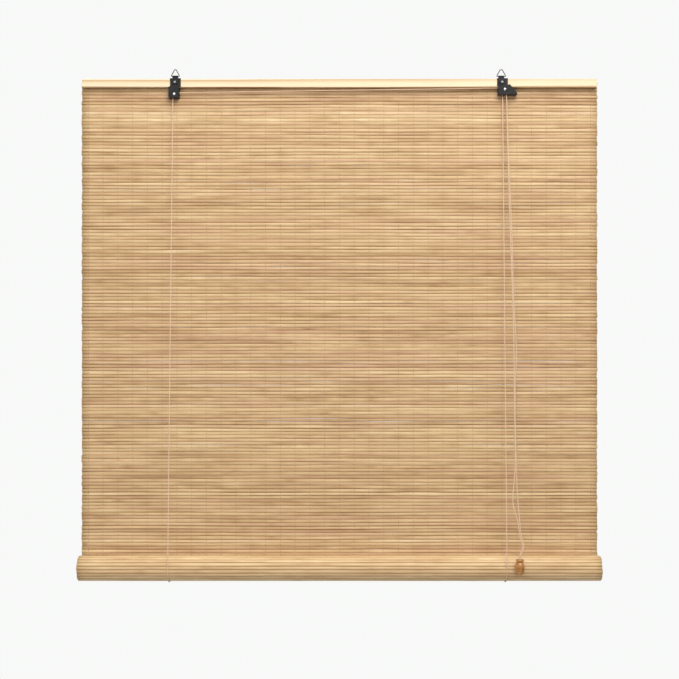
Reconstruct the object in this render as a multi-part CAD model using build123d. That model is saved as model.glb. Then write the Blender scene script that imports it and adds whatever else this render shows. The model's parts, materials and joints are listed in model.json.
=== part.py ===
from build123d import *
import math
import os

os.makedirs("parts", exist_ok=True)

# Bamboo roll-up blind, half raised, in millimetres.
# +X runs along the blind, +Z is up and -Y faces the room.
# The origin is on the line that both hanger rings are hung from, at mid width.

# ---- head rail and mat ----
rail_length = 895.0
rail_height = 14.2
rail_depth = 9.0
rail_edge = 0.8
rail_drop = 14.8          # from the hang line down to the top of the rail
mat_width = 900.0
slat_pitch = 5.88
slat_height = 5.3
slat_thick = 1.7
thread_count = 35
thread_pitch = 25.8
thread_width = 0.9
thread_thick = 0.25
thread_gap = 0.05
fixed_count = 2           # slats stapled behind the rail
hanging_count = 141       # slats between the rail and the roll
staple_count = 9
staple_pitch = 100.0
staple_width = 9.0
staple_wire = 0.25
staple_bite = 5.0

# ---- roll ----
roll_turns = 6
roll_pitch = 2.0
roll_wall = 1.8
roll_radius = 21.3        # to the middle of the outer layer
roll_rise = 4.5           # the lowest hanging slat ends this far above the roll's axis
batten_thick = 7.0
batten_clear = 0.3        # between the batten's corners and the mat round it
batten_length = 898.0

# ---- brackets, straps and rings ----
sheet = 1.0
strap_sheet = 0.8
strap_width = 10.0
strap_below = 9.0        # the strap's lower end, below the rail's top
curl_rise = 3.7           # centre of the ring's base wire above the rail's top
ring_wire = 0.7
ring_fit = 0.06
ring_angle = 28.0         # half the angle between the ring's sides
ring_corner = 1.2
left_ring_round = 2.2
right_ring_round = 3.2
bracket_width = 18.6
left_bracket_x = -285.1
left_lean = 2.8           # sideways shift of the left bracket's lower end
left_bracket_drop = 32.8
left_hang_x = -285.0
right_bracket_x = 283.2
right_hang_x = 280.8
right_bracket_drop = 27.4
lock_left_x = 275.6
lock_right_x = 308.6
ear_x = 293.6
ear_drop = 12.6
flange_x = 296.2          # top corner of the lock's front flange, which stands past its slanted wall
flange_drop = 10.0
cage_step = 1.2           # how far a bracket's lower front stands forward of its upper plate
mat_clear = 0.4           # between a bracket's back plate and the mat
rail_clear = 0.3
screw_shank = 1.3
screw_head = 2.1
screw_head_height = 1.6
screw_depth = 7.0
screw_drop = 6.0
screw_slot = 0.7
left_screw_x = -285.9
right_screw_x = 282.4
hole_clear = 0.05

# ---- pulleys and lock roller ----
cord_radius = 0.9
cord_clear = 0.2          # between a cord and what it runs on
pulley_groove = 2.1
pulley_rim = 3.5
groove_width = 2.2
groove_offset = 1.3       # the right pulley's two grooves, from its middle
pulley_cheek = 0.5
rivet_radius = 1.0
rivet_head = 2.3
rivet_head_height = 1.2
left_pulley_x = -287.0
left_pulley_drop = 26.6
right_pulley_x = 287.2
roller_radius = 2.4
roller_end_gap = 0.3
roller_gap = 0.25
roller_groove = 0.3
roller_grooves = 12

# ---- cords and knob ----
sling_gap = 0.4
joint_gap = 0.05
left_sling_x = -293.6
right_sling_x = 286.0
anchor_drop = 6.0
anchor_radius = 2.2
knob_x = 306.8
knob_gap = 0.75           # between the knob and the front of the roll
knob_top_z = -842.0
knob_height = 26.0
knob_radius = 8.2
knob_foot = 4.7
knob_collar = 7.0
knob_neck = 5.0
knob_counterbore = 3.2
knob_counterbore_depth = 7.0
knot_radius = 2.9
knot_height = 5.0
knot_seat = 0.1           # between the knot and the top of its counterbore
strand_clear = 0.1        # between the two pull cords in the knob
strand_spread = 0.4       # between the two pull cords above it
bore_clear = 0.25

# ---- planes that follow from the sizes ----
plate_front_y = strap_sheet
rail_front_y = plate_front_y + sheet
rail_back_y = rail_front_y + rail_depth
rail_top_z = -rail_drop
rail_bottom_z = rail_top_z - rail_height
mat_half = slat_thick / 2 + thread_gap + thread_thick
mat_y = rail_back_y + mat_half
fixed_top_z = rail_bottom_z + fixed_count * slat_pitch
mat_bottom_z = rail_bottom_z - hanging_count * slat_pitch
roll_y = mat_y - roll_radius
roll_z = mat_bottom_z - roll_rise
cage_front_y = plate_front_y - cage_step
cage_back_y = rail_back_y - mat_clear - sheet
cage_middle_y = (rail_front_y + cage_back_y) / 2
cord_run = pulley_groove + cord_clear + cord_radius
left_pulley_z = rail_top_z - left_pulley_drop
right_pulley_z = rail_bottom_z - rail_clear - cord_radius - cord_run
core_radius = roll_radius - (2 * roll_turns - 1) * roll_pitch / 2 - roll_wall / 2
batten_width = 2 * math.sqrt((core_radius - batten_clear) ** 2 - (batten_thick / 2) ** 2)
sling_radius = roll_radius + roll_wall / 2 + sling_gap + cord_radius
ring_z = rail_top_z + curl_rise
front_groove_y = cage_middle_y - groove_offset
back_groove_y = cage_middle_y + groove_offset
knob_y = roll_y - roll_radius - roll_wall / 2 - knob_gap - knob_radius
knob_bore = 2 * cord_radius + strand_clear / 2 + bore_clear
strand_offset = cord_radius + strand_clear / 2
strand_side = cord_radius + strand_spread / 2
strand_start_z = right_pulley_z - 2 * joint_gap
knot_top_z = knob_top_z - knob_height + knob_counterbore_depth - knot_seat

# Routes of the two pull cords, from the right pulley down to the knot in the knob.
left_pull_points = [
    (right_pulley_x + cord_run, front_groove_y, strand_start_z),
    (292.6, -2.3 - strand_side, -173.8),
    (295.5, -9.2 - strand_side, -295.8),
    (299.1, -16.1 - strand_side, -416.8),
    (299.7, -20.1 - strand_side, -485.8),
    (299.8, -24.0 - strand_side, -554.8),
    (300.2, -28.0 - strand_side, -624.8),
    (300.9, -31.4 - strand_side, -684.8),
    (296.8, -33.5 - strand_side, -719.8),
    (294.2, -35.1 - strand_side, -747.8),
    (303.9, -36.7 - strand_side, -776.8),
    (307.3, -38.4 - strand_side, -804.8),
    (313.5, -39.7 - strand_side / 2, -820.5),
    (knob_x - strand_offset + 0.2, knob_y, -835.0),
    (knob_x - strand_offset, knob_y, knob_top_z - 6.2),
    (knob_x - strand_offset, knob_y, knot_top_z + joint_gap),
]
right_pull_points = [
    (right_pulley_x + cord_run, back_groove_y, strand_start_z),
    (294.3, -2.3 + strand_side, -173.8),
    (298.6, -9.2 + strand_side, -295.8),
    (300.3, -16.1 + strand_side, -416.8),
    (305.4, -20.1 + strand_side, -485.8),
    (300.9, -24.0 + strand_side, -554.8),
    (301.3, -28.0 + strand_side, -624.8),
    (302.6, -31.4 + strand_side, -684.8),
    (302.8, -33.5 + strand_side, -719.8),
    (304.8, -35.1 + strand_side, -747.8),
    (306.9, -36.7 + strand_side, -776.8),
    (309.5, -38.4 + strand_side, -804.8),
    (315.0, -39.7 + strand_side / 2, -820.5),
    (knob_x + strand_offset + 0.2, knob_y, -835.0),
    (knob_x + strand_offset, knob_y, knob_top_z - 6.2),
    (knob_x + strand_offset, knob_y, knot_top_z + joint_gap),
]


def box_between(low, high):
    """A box from its low corner to its high corner."""
    size = [high[i] - low[i] for i in range(3)]
    middle = [(high[i] + low[i]) / 2 for i in range(3)]
    return Pos(*middle) * Box(*size)


def rod_y(x, z, radius, y_low, y_high):
    """A round rod along Y."""
    length = y_high - y_low
    turned = Rot(90, 0, 0) * Cylinder(radius, length)
    return Pos(x, (y_low + y_high) / 2, z) * turned


def plate_xz(points, y_low, y_high):
    """A flat plate in the XZ plane, given its outline as (x, z) points."""
    outline = Polyline(*[(x, y_low, z) for x, z in points], close=True)
    face = make_face(outline)
    return extrude(face, amount=y_high - y_low, dir=(0, 1, 0))


def tube_along(path, radius):
    """A round tube that follows a path."""
    start = path @ 0
    heading = path % 0
    section = Plane(origin=start, z_dir=heading) * Circle(radius)
    return sweep(section, path=path)


def route_radii(points):
    """Each corner's arc radius: 0.45 of the shorter run over the tangent of half the turn."""
    radii = []
    for before, here, after in zip(points, points[1:], points[2:]):
        first = Vector(*here) - Vector(*before)
        second = Vector(*after) - Vector(*here)
        turn = math.radians(first.get_angle(second))
        run = min(first.length, second.length)
        radii.append(0.45 * run / math.tan(turn / 2))
    return radii


def cord_tube(name, points):
    """A cord along straight runs joined by tangent arcs."""
    radii = route_radii(points)
    path = FilletPolyline(*points, radius=radii)
    tube = tube_along(path, cord_radius)
    expected = math.pi * cord_radius ** 2 * path.length
    print(name, "radii", [round(r) for r in radii])
    print(name, "length", round(path.length, 1), "volume ratio", round(tube.volume / expected, 4))
    return tube


def write(node, *solids):
    """Write one sub-part's STEP file."""
    shape = solids[0] if len(solids) == 1 else Compound(children=list(solids))
    export_step(shape, f"parts/{node}.step")


# ---- head rail with the staple and screw holes ----
def staple_places():
    """The x positions of the staples along the rail."""
    first = -staple_pitch * (staple_count - 1) / 2
    return [first + i * staple_pitch for i in range(staple_count)]


staple_z = fixed_top_z - slat_pitch


def make_rail():
    """The pine head rail, softly rounded along its long edges."""
    low = (-rail_length / 2, rail_front_y, rail_bottom_z)
    high = (rail_length / 2, rail_back_y, rail_top_z)
    rail = box_between(low, high)
    rail = fillet(rail.edges().filter_by(Axis.X), rail_edge)
    for x in staple_places():
        for side in (-1, 1):
            leg_x = x + side * (staple_width / 2 - staple_wire)
            rail -= rod_y(leg_x, staple_z, staple_wire + hole_clear, rail_back_y - staple_bite, rail_back_y)
    for x in (left_screw_x, right_screw_x):
        rail -= rod_y(x, rail_top_z - screw_drop, screw_shank + hole_clear, rail_front_y,
                      plate_front_y - strap_sheet * 2 + screw_depth + hole_clear)
    return rail


def make_slat(z):
    """One bamboo slat, with its middle at height z."""
    slat = Pos(0, mat_y, z) * Box(mat_width, slat_thick, slat_height)
    return slat


def make_threads(z_low, z_high):
    """The warp threads in front of and behind the slats."""
    threads = []
    first = -thread_pitch * (thread_count - 1) / 2
    offset = slat_thick / 2 + thread_gap + thread_thick / 2
    for i in range(thread_count):
        for side in (-1, 1):
            centre = (first + i * thread_pitch, mat_y + side * offset, (z_low + z_high) / 2)
            threads.append(Pos(*centre) * Box(thread_width, thread_thick, z_high - z_low))
    return threads


def make_staple(x):
    """A staple with its crown behind the mat and its legs in the rail."""
    crown_y = mat_y + mat_half + staple_wire
    half = staple_width / 2 - staple_wire
    end_y = rail_back_y - staple_bite + hole_clear
    path = FilletPolyline(
        (x - half, end_y, staple_z),
        (x - half, crown_y, staple_z),
        (x + half, crown_y, staple_z),
        (x + half, end_y, staple_z),
        radius=staple_wire * 2,
    )
    return tube_along(path, staple_wire)


# ---- roll ----
def make_rolled_mat():
    """The rolled mat: half turns about two centres, each half a pitch smaller than the last."""
    edges = []
    starts = []
    for offset in (roll_wall / 2, -roll_wall / 2):
        arcs = []
        for k in range(2 * roll_turns):
            radius = roll_radius - k * roll_pitch / 2 + offset
            centre_y = roll_y - (roll_pitch / 2 if k % 2 else 0)
            side = -1 if k % 2 else 1
            start = Vector(0, centre_y + side * radius, roll_z)
            middle = Vector(0, centre_y, roll_z - side * radius)
            end = Vector(0, centre_y - side * radius, roll_z)
            arcs.append(ThreePointArc(start, middle, end))
        edges.extend(arcs)
        starts.append((arcs[0] @ 0, arcs[-1] @ 1))
    edges.append(Line(starts[0][0], starts[1][0]))
    edges.append(Line(starts[0][1], starts[1][1]))
    face = make_face(edges)
    strip = extrude(face, amount=mat_width / 2, dir=(1, 0, 0), both=True)
    return strip


def make_batten():
    """The bottom batten in the core of the roll."""
    batten = Pos(0, roll_y - roll_pitch / 2, roll_z) * Box(batten_length, batten_width, batten_thick)
    return fillet(batten.edges().filter_by(Axis.X), rail_edge)


# ---- brackets ----
def bracket_top(x):
    """The fold that lies over the top of the rail."""
    low = (x - bracket_width / 2, plate_front_y, rail_top_z)
    high = (x + bracket_width / 2, rail_back_y, rail_top_z + sheet)
    return box_between(low, high)


def drill(shape, x, z, radius, y_low, y_high):
    """The shape with a round hole along Y."""
    return shape - rod_y(x, z, radius + hole_clear, y_low, y_high)


def stepped_front(x, step_z):
    """A bracket's upper plate on the rail, and the ledge that brings its lower part forward."""
    half = bracket_width / 2
    plate = box_between((x - half, plate_front_y, step_z - sheet), (x + half, rail_front_y, rail_top_z + sheet))
    ledge = box_between((x - half, cage_front_y, step_z - sheet), (x + half, rail_front_y, step_z))
    return plate + ledge


def make_left_bracket():
    """The left bracket: over the rail, down its front and back up behind the pulley."""
    bottom_z = rail_top_z - left_bracket_drop
    step_z = rail_bottom_z + sheet
    low_x = left_bracket_x - left_lean
    half = bracket_width / 2
    front = [
        (left_bracket_x + half, step_z),
        (low_x + half, rail_bottom_z),
        (low_x + half, bottom_z + sheet),
        (low_x + half - sheet, bottom_z),
        (low_x - half + sheet, bottom_z),
        (low_x - half, bottom_z + sheet),
        (low_x - half, rail_bottom_z),
        (left_bracket_x - half, step_z),
    ]
    back = [
        (low_x + half, rail_bottom_z - rail_clear),
        (low_x + half, bottom_z),
        (low_x - half, bottom_z),
        (low_x - half, rail_bottom_z - rail_clear),
    ]
    bracket = bracket_top(left_bracket_x) + stepped_front(left_bracket_x, step_z)
    bracket += plate_xz(front, cage_front_y, cage_front_y + sheet)
    bracket += plate_xz(back, cage_back_y, cage_back_y + sheet)
    floor_low = (low_x - half + sheet, cage_front_y, bottom_z)
    floor_high = (low_x + half - sheet, cage_back_y + sheet, bottom_z + sheet)
    bracket += box_between(floor_low, floor_high)
    slot_low = (left_pulley_x - cord_run - 2.4, cage_middle_y - 2.4, bottom_z - 1)
    slot_high = (left_pulley_x - cord_run + 2.4, cage_middle_y + 2.2, bottom_z + sheet + 1)
    bracket -= box_between(slot_low, slot_high)
    bracket = drill(bracket, left_pulley_x, left_pulley_z, rivet_radius, -rail_depth, rail_back_y)
    return drill(bracket, left_screw_x, rail_top_z - screw_drop, screw_shank, 0, rail_front_y)


def make_lock_housing():
    """The cord lock's housing, with the slanted wall that the roller runs along."""
    bottom_z = rail_top_z - right_bracket_drop
    half = bracket_width / 2
    ear_z = rail_top_z - ear_drop
    toe_z = bottom_z + 2 * sheet
    slope = (toe_z - ear_z) / (lock_right_x - ear_x)
    cage_top_z = rail_bottom_z - rail_clear
    cage_x = ear_x + (cage_top_z - ear_z) / slope
    step_z = rail_top_z - flange_drop
    front = [
        (right_bracket_x - half, step_z),
        (flange_x, step_z),
        (lock_right_x, toe_z),
        (lock_right_x, bottom_z),
        (lock_left_x, bottom_z),
        (lock_left_x, ear_z - sheet),
        (right_bracket_x - half, ear_z),
    ]
    back = [
        (lock_left_x, cage_top_z),
        (cage_x, cage_top_z),
        (lock_right_x, toe_z),
        (lock_right_x, bottom_z),
        (lock_left_x, bottom_z),
    ]
    length = math.hypot(lock_right_x - cage_x, toe_z - cage_top_z)
    inward = sheet * length / (lock_right_x - cage_x)
    wall = [
        (cage_x, cage_top_z),
        (lock_right_x, toe_z),
        (lock_right_x, bottom_z),
        (lock_right_x - sheet, bottom_z),
        (lock_right_x - sheet, toe_z - slope * sheet - inward),
        (cage_x - inward / abs(slope), cage_top_z),
    ]
    housing = bracket_top(right_bracket_x) + stepped_front(right_bracket_x, step_z)
    housing += plate_xz(front, cage_front_y, cage_front_y + sheet)
    housing += plate_xz(back, cage_back_y, cage_back_y + sheet)
    housing += plate_xz(wall, cage_front_y, cage_back_y)
    floor_low = (lock_left_x, cage_front_y, bottom_z)
    floor_high = (lock_right_x, cage_back_y, bottom_z + sheet)
    housing += box_between(floor_low, floor_high)
    slot_low = (right_pulley_x - cord_run - 2.2, front_groove_y - 1.9, bottom_z - 1)
    slot_high = (right_pulley_x + cord_run + 2.2, back_groove_y + 1.6, bottom_z + sheet + 1)
    housing -= box_between(slot_low, slot_high)
    housing = drill(housing, right_pulley_x, right_pulley_z, rivet_radius, -rail_depth, rail_back_y)
    return drill(housing, right_screw_x, rail_top_z - screw_drop, screw_shank, 0, rail_front_y)


def roller_place():
    """The lock roller's middle: against the pull cords and under the slanted wall."""
    bottom_z = rail_top_z - right_bracket_drop
    ear_z = rail_top_z - ear_drop
    toe_z = bottom_z + 2 * sheet
    run = lock_right_x - ear_x
    fall = toe_z - ear_z
    length = math.hypot(run, fall)
    x = right_pulley_x + cord_run + cord_radius + roller_gap + roller_radius
    below = (sheet + roller_gap + roller_radius) * length / run
    return x, ear_z + fall / run * (x - ear_x) - below


def make_hanger_strap(x, screw_x):
    """A doubled strip curled round the base wire of a hanger ring."""
    low = (x - strap_width / 2, -strap_sheet, rail_top_z - strap_below)
    high = (x + strap_width / 2, strap_sheet, ring_z)
    strap = box_between(low, high)
    curl = Rot(0, 90, 0) * Cylinder(ring_wire + ring_fit + strap_sheet, strap_width)
    bore = Rot(0, 90, 0) * Cylinder(ring_wire + ring_fit, strap_width + 2)
    strap = strap + Pos(x, 0, ring_z) * curl - Pos(x, 0, ring_z) * bore
    return drill(strap, screw_x, rail_top_z - screw_drop, screw_shank, -2, 2)


def make_ring(x, rounding):
    """A triangular wire ring, hung from the inside of its apex at height 0."""
    half_angle = math.radians(ring_angle)
    side = Vector(-math.sin(half_angle), 0, math.cos(half_angle))
    sharp_z = ring_wire + rounding / math.sin(half_angle) - rounding
    half_base = (sharp_z - ring_z) * math.tan(half_angle)
    corner_run = ring_corner / math.tan((math.pi / 2 - half_angle) / 2)
    apex_run = rounding / math.tan(half_angle)
    base_middle = Vector(0, 0, ring_z)
    base_end = Vector(half_base - corner_run, 0, ring_z)
    side_start = Vector(half_base, 0, ring_z) + side * corner_run
    side_end = Vector(0, 0, sharp_z) - side * apex_run
    top = Vector(0, 0, ring_wire)
    path = Wire([
        Line(base_middle, base_end).edge(),
        TangentArc(base_end, side_start, tangent=(1, 0, 0)).edge(),
        Line(side_start, side_end).edge(),
        TangentArc(side_end, top, tangent=side).edge(),
    ])
    half_ring = tube_along(path, ring_wire)
    ring = half_ring + mirror(half_ring, about=Plane.YZ)
    return Pos(x, 0, 0) * ring


def make_screw(x):
    """A slotted pan-head screw through the strap and bracket into the rail."""
    z = rail_top_z - screw_drop
    seat_y = -strap_sheet
    screw = rod_y(x, z, screw_shank, seat_y, seat_y + screw_depth)
    head = rod_y(x, z, screw_head, seat_y - screw_head_height, seat_y)
    rim = head.faces().sort_by(Axis.Y)[0].edges()
    head = fillet(rim, screw_head_height * 0.5)
    cut = Pos(x, seat_y - screw_head_height, z) * Rot(0, 35, 0) * Box(screw_head * 3, screw_slot, screw_slot)
    return screw + head - cut


def make_rivet(x, z):
    """A domed rivet that is the axle of a pulley."""
    end_y = cage_back_y + sheet
    rivet = rod_y(x, z, rivet_radius, cage_front_y, end_y)
    head = rod_y(x, z, rivet_head, cage_front_y - rivet_head_height, cage_front_y)
    rim = head.faces().sort_by(Axis.Y)[0].edges()
    return rivet + fillet(rim, rivet_head_height * 0.8)


def make_pulley(x, z, grooves):
    """A small pulley with one groove for each place in the list."""
    half = max(grooves) + groove_width / 2 + pulley_cheek
    wheel = rod_y(x, z, pulley_rim, cage_middle_y - half, cage_middle_y + half)
    for groove in grooves:
        middle = cage_middle_y + groove
        ring = rod_y(x, z, pulley_rim + 1, middle - groove_width / 2, middle + groove_width / 2)
        core = rod_y(x, z, pulley_groove, middle - groove_width, middle + groove_width)
        wheel -= ring - core
    return wheel - rod_y(x, z, rivet_radius + hole_clear, cage_middle_y - half, cage_middle_y + half)


def make_roller():
    """The knurled lock roller."""
    x, z = roller_place()
    low_y = rail_front_y + roller_end_gap
    high_y = cage_back_y - roller_end_gap
    roller = rod_y(x, z, roller_radius, low_y, high_y)
    for i in range(roller_grooves):
        angle = 2 * math.pi * i / roller_grooves
        groove_x = x + roller_radius * math.cos(angle)
        groove_z = z + roller_radius * math.sin(angle)
        roller -= rod_y(groove_x, groove_z, roller_groove, low_y - 1, high_y + 1)
    return roller


# ---- cords ----
def sling_touch(top_y, top_z):
    """Where a cord from a high point first meets the sling's circle, as an angle above the axis."""
    away_y = top_y - roll_y
    away_z = top_z - roll_z
    distance = math.hypot(away_y, away_z)
    bearing = math.atan2(away_z, away_y)
    return bearing + math.acos(sling_radius / distance)


def sling_point(x, angle):
    """A point on the sling's circle."""
    y = roll_y + sling_radius * math.cos(angle)
    return Vector(x, y, roll_z + sling_radius * math.sin(angle))


def make_sling(x, top_y, top_z):
    """The part of a lift cord that passes under the roll."""
    touch = sling_touch(top_y, top_z)
    middle = (touch + 2 * math.pi) / 2
    path = ThreePointArc(sling_point(x, touch), sling_point(x, middle), sling_point(x, 2 * math.pi))
    return tube_along(path, cord_radius)


def make_front_cord(top, x):
    """The straight run of a lift cord from its pulley to the front of the roll."""
    touch = sling_touch(top[1], top[2])
    end = sling_point(x, touch)
    start = Vector(*top)
    heading = (end - start).normalized()
    return tube_along(Line(start + heading * joint_gap, end - heading * joint_gap), cord_radius)


def make_back_cord(x):
    """The straight run of a lift cord behind the mat, up to its anchor."""
    y = roll_y + sling_radius
    return tube_along(Line((x, y, roll_z + joint_gap), (x, y, rail_top_z - anchor_drop - anchor_radius)),
                      cord_radius)


def make_anchor(x):
    """The knot that ties a lift cord behind the rail."""
    y = mat_y + mat_half + 2 * joint_gap + anchor_radius
    return Pos(x, y, rail_top_z - anchor_drop) * Sphere(anchor_radius)


def pulley_point(x, z, y, degrees):
    """A point on a cord that runs round a pulley."""
    angle = math.radians(degrees)
    return Vector(x + cord_run * math.cos(angle), y, z + cord_run * math.sin(angle))


def make_cross_cord():
    """The left lift cord from its pulley along the rail and over the lock's pulley."""
    fall = math.degrees(math.atan2(right_pulley_z - left_pulley_z, right_pulley_x - left_pulley_x))
    up = 90 + fall
    left_top = pulley_point(left_pulley_x, left_pulley_z, cage_middle_y, up)
    right_top = pulley_point(right_pulley_x, right_pulley_z, front_groove_y, up)
    first = ThreePointArc(
        pulley_point(left_pulley_x, left_pulley_z, cage_middle_y, 180),
        pulley_point(left_pulley_x, left_pulley_z, cage_middle_y, (180 + up) / 2),
        left_top,
    )
    last = ThreePointArc(
        right_top,
        pulley_point(right_pulley_x, right_pulley_z, front_groove_y, up / 2),
        pulley_point(right_pulley_x, right_pulley_z, front_groove_y, 0),
    )
    pieces = [tube_along(first, cord_radius)]
    pieces.append(tube_along(Line(left_top, right_top), cord_radius))
    pieces.append(tube_along(last, cord_radius))
    return pieces


def make_wrap():
    """The right lift cord where it passes over the lock's pulley."""
    path = ThreePointArc(
        pulley_point(right_pulley_x, right_pulley_z, back_groove_y, 180),
        pulley_point(right_pulley_x, right_pulley_z, back_groove_y, 90),
        pulley_point(right_pulley_x, right_pulley_z, back_groove_y, 0),
    )
    return tube_along(path, cord_radius)


# ---- knob ----
def make_knob():
    """The turned wooden knob, bored for the cords and counterbored for their knot."""
    foot_z = -knob_height
    profile = [
        Line((0, 0, 0), (knob_collar - 1, 0, 0)),
        ThreePointArc((knob_collar - 1, 0, 0), (knob_collar, 0, -1.5), (knob_collar - 1, 0, -3.0)),
        Line((knob_collar - 1, 0, -3.0), (knob_neck, 0, -4.4)),
        ThreePointArc((knob_neck, 0, -4.4), (knob_radius - 1.0, 0, -8.0), (knob_radius, 0, -13.0)),
        ThreePointArc((knob_radius, 0, -13.0), (knob_radius - 1.4, 0, -20.0), (knob_foot, 0, foot_z)),
        Line((knob_foot, 0, foot_z), (0, 0, foot_z)),
        Line((0, 0, foot_z), (0, 0, 0)),
    ]
    knob = revolve(make_face(profile), axis=Axis.Z)
    knob -= Cylinder(knob_bore, knob_height * 2 + 2)
    knob -= Pos(0, 0, foot_z) * Cylinder(knob_counterbore, knob_counterbore_depth * 2)
    return Pos(knob_x, knob_y, knob_top_z) * knob


def make_knot():
    """The knot of both pull cords, up inside the knob's counterbore."""
    knot = Pos(knob_x, knob_y, knot_top_z - knot_height / 2) * Cylinder(knot_radius, knot_height)
    return fillet(knot.edges().filter_by(GeomType.CIRCLE), knot_radius * 0.45)


# ---- head rail and mat ----
write("head_rail", make_rail())
fixed_slats = [make_slat(rail_bottom_z + (i + 0.5) * slat_pitch) for i in range(fixed_count)]
hanging_slats = [make_slat(rail_bottom_z - (i + 0.5) * slat_pitch) for i in range(hanging_count)]
write("fixed_slats", *fixed_slats)
write("fixed_threads", *make_threads(rail_bottom_z + joint_gap, fixed_top_z))
write("hanging_slats", *hanging_slats)
write("warp_threads", *make_threads(mat_bottom_z, rail_bottom_z - joint_gap))
write("mat_staples", *[make_staple(x) for x in staple_places()])
write("rolled_mat", make_rolled_mat())
write("bottom_batten", make_batten())

# ---- brackets, straps, rings and screws ----
write("left_bracket", make_left_bracket())
write("right_lock_housing", make_lock_housing())
write("left_hanger_strap", make_hanger_strap(left_hang_x, left_screw_x))
write("right_hanger_strap", make_hanger_strap(right_hang_x, right_screw_x))
write("left_ring", make_ring(left_hang_x, left_ring_round))
write("right_ring", make_ring(right_hang_x, right_ring_round))
write("left_screw", make_screw(left_screw_x))
write("right_screw", make_screw(right_screw_x))

# ---- pulleys and lock ----
write("left_pulley", make_pulley(left_pulley_x, left_pulley_z, [0]))
write("right_pulley", make_pulley(right_pulley_x, right_pulley_z, [-groove_offset, groove_offset]))
write("left_pulley_rivet", make_rivet(left_pulley_x, left_pulley_z))
write("right_pulley_rivet", make_rivet(right_pulley_x, right_pulley_z))
write("lock_roller", make_roller())

# ---- cords ----
left_cord_top = (left_pulley_x - cord_run, cage_middle_y, left_pulley_z)
right_cord_top = (right_pulley_x - cord_run, back_groove_y, right_pulley_z)
write("left_lift_cord", make_front_cord(left_cord_top, left_sling_x))
write("right_lift_cord", make_front_cord(right_cord_top, right_sling_x))
write("left_cord_sling", make_sling(left_sling_x, left_cord_top[1], left_cord_top[2]))
write("right_cord_sling", make_sling(right_sling_x, right_cord_top[1], right_cord_top[2]))
write("left_back_cord", make_back_cord(left_sling_x))
write("right_back_cord", make_back_cord(right_sling_x))
write("left_cord_anchor", make_anchor(left_sling_x))
write("right_cord_anchor", make_anchor(right_sling_x))
write("cross_cord", *make_cross_cord())
write("right_cord_wrap", make_wrap())
write("left_pull_cord", cord_tube("left pull cord", left_pull_points))
write("right_pull_cord", cord_tube("right pull cord", right_pull_points))
write("cord_knob", make_knob())
write("knob_knot", make_knot())
print("roll axis", round(roll_y, 3), round(roll_z, 3), "sling radius", round(sling_radius, 3))
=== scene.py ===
import json
import bpy
import numpy as np
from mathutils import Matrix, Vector


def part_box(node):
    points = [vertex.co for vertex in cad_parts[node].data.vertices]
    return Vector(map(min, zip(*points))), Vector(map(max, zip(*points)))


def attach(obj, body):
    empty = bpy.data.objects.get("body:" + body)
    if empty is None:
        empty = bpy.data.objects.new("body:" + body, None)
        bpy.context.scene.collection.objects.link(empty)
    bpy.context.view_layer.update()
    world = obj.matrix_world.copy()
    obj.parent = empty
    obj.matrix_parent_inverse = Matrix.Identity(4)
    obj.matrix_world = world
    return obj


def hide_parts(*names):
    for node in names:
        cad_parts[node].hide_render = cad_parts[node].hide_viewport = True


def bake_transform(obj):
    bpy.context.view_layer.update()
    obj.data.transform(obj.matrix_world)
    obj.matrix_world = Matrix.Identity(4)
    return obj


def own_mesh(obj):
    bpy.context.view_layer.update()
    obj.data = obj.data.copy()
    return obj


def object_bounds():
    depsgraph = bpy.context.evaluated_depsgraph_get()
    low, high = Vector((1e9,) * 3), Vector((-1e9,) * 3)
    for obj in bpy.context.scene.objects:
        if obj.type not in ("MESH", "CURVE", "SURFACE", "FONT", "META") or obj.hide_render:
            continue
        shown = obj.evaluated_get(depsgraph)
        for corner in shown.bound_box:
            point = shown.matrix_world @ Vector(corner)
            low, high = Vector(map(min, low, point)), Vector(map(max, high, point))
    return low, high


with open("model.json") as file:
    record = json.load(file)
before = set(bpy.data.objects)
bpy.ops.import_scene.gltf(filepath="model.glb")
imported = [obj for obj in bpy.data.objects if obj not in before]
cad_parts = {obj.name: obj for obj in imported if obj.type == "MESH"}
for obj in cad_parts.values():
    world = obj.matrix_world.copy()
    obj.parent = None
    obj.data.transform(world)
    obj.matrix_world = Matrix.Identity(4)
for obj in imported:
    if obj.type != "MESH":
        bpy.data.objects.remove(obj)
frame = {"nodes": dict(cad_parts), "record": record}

cadLow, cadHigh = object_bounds()
mm = 0.001
behaviour = frame["record"]["behaviour"]
joints = {joint["name"]: joint for joint in behaviour["joints"]}
couplings = {coupling["joint"]: coupling for coupling in behaviour["couplings"]}


def matPlane():
    # the depth at which the middle of the flat mat hangs
    low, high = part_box("hanging_slats")
    return (low.y + high.y) / 2


cameraSetup = {"distance": 2.0, "height": -0.4678, "lens": 60.7, "sensor": 36.0}


def addCamera(s):
    # looks level along +Y, a little below the blind's middle
    data = bpy.data.cameras.new("camera")
    data.lens = s["lens"]
    data.sensor_width = s["sensor"]
    camera = bpy.data.objects.new("camera", data)
    camera.location = (0.0, matPlane() - s["distance"], s["height"])
    camera.rotation_euler = (np.pi / 2, 0.0, 0.0)
    bpy.context.collection.objects.link(camera)
    bpy.context.scene.camera = camera


addCamera(cameraSetup)
print("camera ready")

lightSetup = {
    "skyColour": (0.97, 0.98, 0.97), "skySeen": 0.965, "skyLight": 0.92, "groundLight": 0.03,
    "fadeFrom": -0.5, "fadeTo": 0.9,
    "floorDrop": 1.72, "floorSize": 6.0, "floorColour": (0.62, 0.62, 0.61), "floorRoughness": 0.9,
    "keyPlace": (0.5, -1.85, 1.5), "keySize": 1.7, "keyPower": 66.0,
    "fillPlace": (-1.4, -2.6, -0.1), "fillSize": 2.2, "fillPower": 16.0,
    "backPlace": (0.4, 2.4, 0.9), "backSize": 1.8, "backPower": 22.0,
}


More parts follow.
